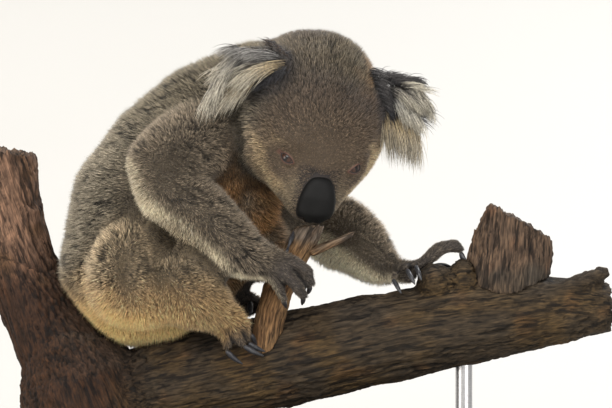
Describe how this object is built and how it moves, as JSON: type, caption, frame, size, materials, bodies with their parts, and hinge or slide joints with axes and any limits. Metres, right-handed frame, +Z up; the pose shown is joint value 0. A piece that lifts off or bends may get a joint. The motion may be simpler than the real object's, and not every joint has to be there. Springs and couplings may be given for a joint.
{
  "type": "koala",
  "caption": "Still, life-size model of an adult koala sitting in the fork of a cut branch, leaning forward over a broken stub that it grips, on a plain display stand.",
  "frame": {"origin": "centre of the flat underside of the stand's base", "axes": "+X along the branch to the animal's front, +Y to the animal's left side, +Z up"},
  "size_m": [0.6048, 0.28, 0.4415],
  "materials": {
    "grey_fur": "dense soft grey-brown coat, ticked, matte",
    "face_fur": "short dense warm brown-grey fur, matte",
    "ear_fur": "long loose cream and white hair, dark slate at the root and back",
    "paw_fur": "short grey hair over dark skin",
    "nose_skin": "bare charcoal skin with a fine grain",
    "eye": "dark brown eye, wet gloss",
    "claw_horn": "dark horn, satin",
    "bark": "weathered brown-grey bark with long grooves",
    "bare_wood": "bare broken wood, fibrous, greyed",
    "stand_paint": "board with satin dark grey paint",
    "stand_steel": "brushed steel rod"
  },
  "bodies": {
    "root": {"perch_branch": "bark", "perch_fork": "bark", "perch_trunk": "bark", "perch_stub": "bare_wood", "perch_twig": "bare_wood", "perch_spikes": "bark", "perch_stump": "bare_wood", "stand_base": "stand_paint", "stand_rod_1": "stand_steel", "stand_rod_2": "stand_steel", "eye_right": "eye", "eye_left": "eye", "nose_pad": "nose_skin", "head": "face_fur", "ear_right": "ear_fur", "ear_left": "ear_fur", "neck": "grey_fur", "trunk": "grey_fur", "upper_arm_right": "grey_fur", "forearm_right": "grey_fur", "claw_hand_right_1": "claw_horn", "claw_hand_right_2": "claw_horn", "claw_hand_right_3": "claw_horn", "claw_hand_right_4": "claw_horn", "claw_hand_right_5": "claw_horn", "hand_right": "paw_fur", "upper_arm_left": "grey_fur", "forearm_left": "grey_fur", "claw_hand_left_1": "claw_horn", "claw_hand_left_2": "claw_horn", "claw_hand_left_3": "claw_horn", "claw_hand_left_4": "claw_horn", "claw_hand_left_5": "claw_horn", "hand_left": "paw_fur", "thigh_right": "grey_fur", "shank_right": "grey_fur", "claw_foot_right_2": "claw_horn", "claw_foot_right_3": "claw_horn", "claw_foot_right_4": "claw_horn", "claw_foot_right_5": "claw_horn", "foot_right": "paw_fur", "thigh_left": "grey_fur", "shank_left": "grey_fur", "claw_foot_left_2": "claw_horn", "claw_foot_left_3": "claw_horn", "claw_foot_left_4": "claw_horn", "claw_foot_left_5": "claw_horn", "foot_left": "paw_fur"}
  },
  "joints": []
}
